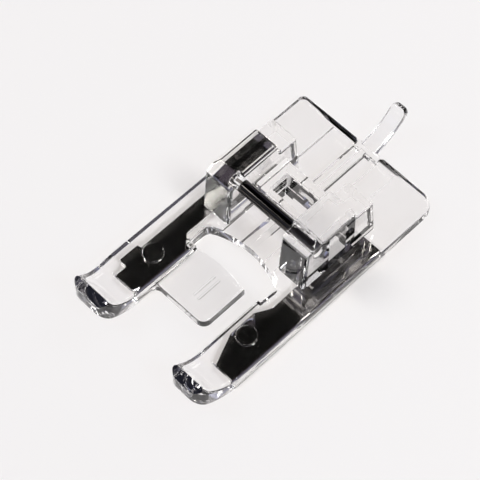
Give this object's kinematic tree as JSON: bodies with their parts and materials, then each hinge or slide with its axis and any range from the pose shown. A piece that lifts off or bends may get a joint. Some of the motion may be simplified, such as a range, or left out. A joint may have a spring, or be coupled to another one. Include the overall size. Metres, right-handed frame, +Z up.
{
  "type": "sewing machine presser foot",
  "caption": "Clear clip-on presser foot with open toes, a wide needle opening, a thread slit, a crossbar between two ears, steel sole plates and an upturned rear tab.",
  "frame": {"origin": "on the crossbar's axis, midway between the ears; the sole lies 9.6 mm below", "axes": "+X to the sewer's right along the crossbar, +Y to the rear, +Z up"},
  "size_m": [0.0256, 0.052, 0.0118],
  "materials": {
    "clear_plastic": "water-clear moulded, polished",
    "polished_steel": "polished"
  },
  "bodies": {
    "root": {"clear_body": "clear_plastic", "crossbar": "polished_steel", "left_sole_plate": "polished_steel", "right_sole_plate": "polished_steel"}
  },
  "joints": []
}
